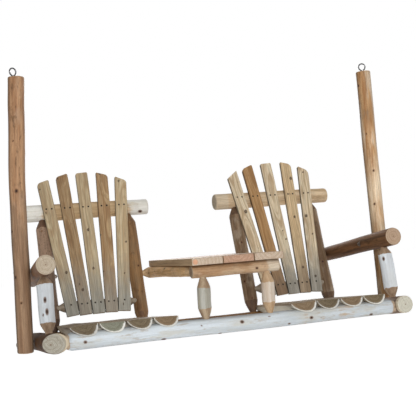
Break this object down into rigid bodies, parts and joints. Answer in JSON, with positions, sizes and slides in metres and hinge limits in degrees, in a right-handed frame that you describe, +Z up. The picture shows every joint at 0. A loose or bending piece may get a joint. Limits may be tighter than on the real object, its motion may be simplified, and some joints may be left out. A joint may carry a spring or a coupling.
{
  "type": "log porch swing",
  "caption": "Hanging porch swing of peeled logs: two seats with fanned slat backs, a plank table between them, and a pole with an eye at each end.",
  "frame": {"origin": "midway between the two eyes, on the line that the swing hangs from and swings about", "axes": "+X to the right as seen from the front, +Y to the rear, +Z up"},
  "size_m": [1.8644, 0.8817, 1.281],
  "materials": {
    "reddish_tan_log": "peeled and sanded wood, matt",
    "golden_tan_log": "peeled and sanded wood, matt",
    "brown_log": "peeled and sanded wood, matt",
    "dark_brown_arm": "peeled and sanded wood, matt",
    "peeled_white_log": "peeled and sanded wood, matt",
    "cream_log": "peeled and sanded wood, matt",
    "tan_rail": "peeled and sanded wood, matt",
    "beige_slat": "peeled and sanded wood, matt",
    "pinkish_slat": "peeled and sanded wood, matt",
    "grey_slat": "peeled and sanded wood, matt",
    "seat_half_log": "peeled and sanded wood, matt",
    "orange_tan_board": "peeled and sanded wood, matt",
    "orange_tan_log": "peeled and sanded wood, matt",
    "bright_steel": "zinc plated",
    "dark_screw_steel": "dark coated"
  },
  "bodies": {
    "swing": {"left_hanger_pole": "reddish_tan_log", "right_hanger_pole": "golden_tan_log", "left_side_rail": "brown_log", "right_side_rail": "brown_log", "front_rail": "peeled_white_log", "rear_rail": "brown_log", "left_front_post": "peeled_white_log", "right_front_post": "peeled_white_log", "left_arm": "dark_brown_arm", "right_arm": "dark_brown_arm", "left_outer_back_post": "brown_log", "left_inner_back_post": "brown_log", "right_inner_back_post": "brown_log", "right_outer_back_post": "brown_log", "left_top_rail": "cream_log", "right_top_rail": "tan_rail", "left_lower_rail": "brown_log", "right_lower_rail": "brown_log", "left_back_slat_1": "beige_slat", "right_back_slat_1": "grey_slat", "left_back_slat_2": "pinkish_slat", "right_back_slat_2": "pinkish_slat", "left_back_slat_3": "beige_slat", "right_back_slat_3": "beige_slat", "left_back_slat_4": "pinkish_slat", "right_back_slat_4": "beige_slat", "left_back_slat_5": "beige_slat", "right_back_slat_5": "beige_slat", "left_seat_slat_1": "seat_half_log", "right_seat_slat_1": "seat_half_log", "left_seat_slat_2": "seat_half_log", "right_seat_slat_2": "seat_half_log", "left_seat_slat_3": "seat_half_log", "right_seat_slat_3": "seat_half_log", "left_seat_slat_4": "seat_half_log", "right_seat_slat_4": "seat_half_log", "left_table_post": "cream_log", "right_table_post": "orange_tan_log", "table_cross_log": "orange_tan_log", "left_table_side_log": "brown_log", "right_table_side_log": "brown_log", "table_rear_log": "brown_log", "table_board_1": "orange_tan_board", "table_board_2": "orange_tan_board", "table_board_3": "orange_tan_board", "pole_bolts": "bright_steel", "arm_bolts": "bright_steel", "bolt_washers": "bright_steel", "bolt_nuts": "bright_steel", "left_back_screws": "dark_screw_steel", "right_back_screws": "dark_screw_steel", "seat_screws": "dark_screw_steel", "table_screws": "dark_screw_steel"},
    "left_eye": {"left_eye_bolt": "bright_steel"},
    "right_eye": {"right_eye_bolt": "bright_steel"}
  },
  "joints": [
    {"name": "left_eye_turn", "type": "hinge", "parent": "swing", "child": "left_eye", "pos_m": [-0.86774, 0, 0.00023], "axis": [0.0258, -0.0297, 0.9992], "range_deg": [-90, 90]},
    {"name": "right_eye_turn", "type": "hinge", "parent": "swing", "child": "right_eye", "pos_m": [0.85474, 0, -0.0001], "axis": [-0.0258, -0.0297, 0.9992], "range_deg": [-90, 90]}
  ]
}
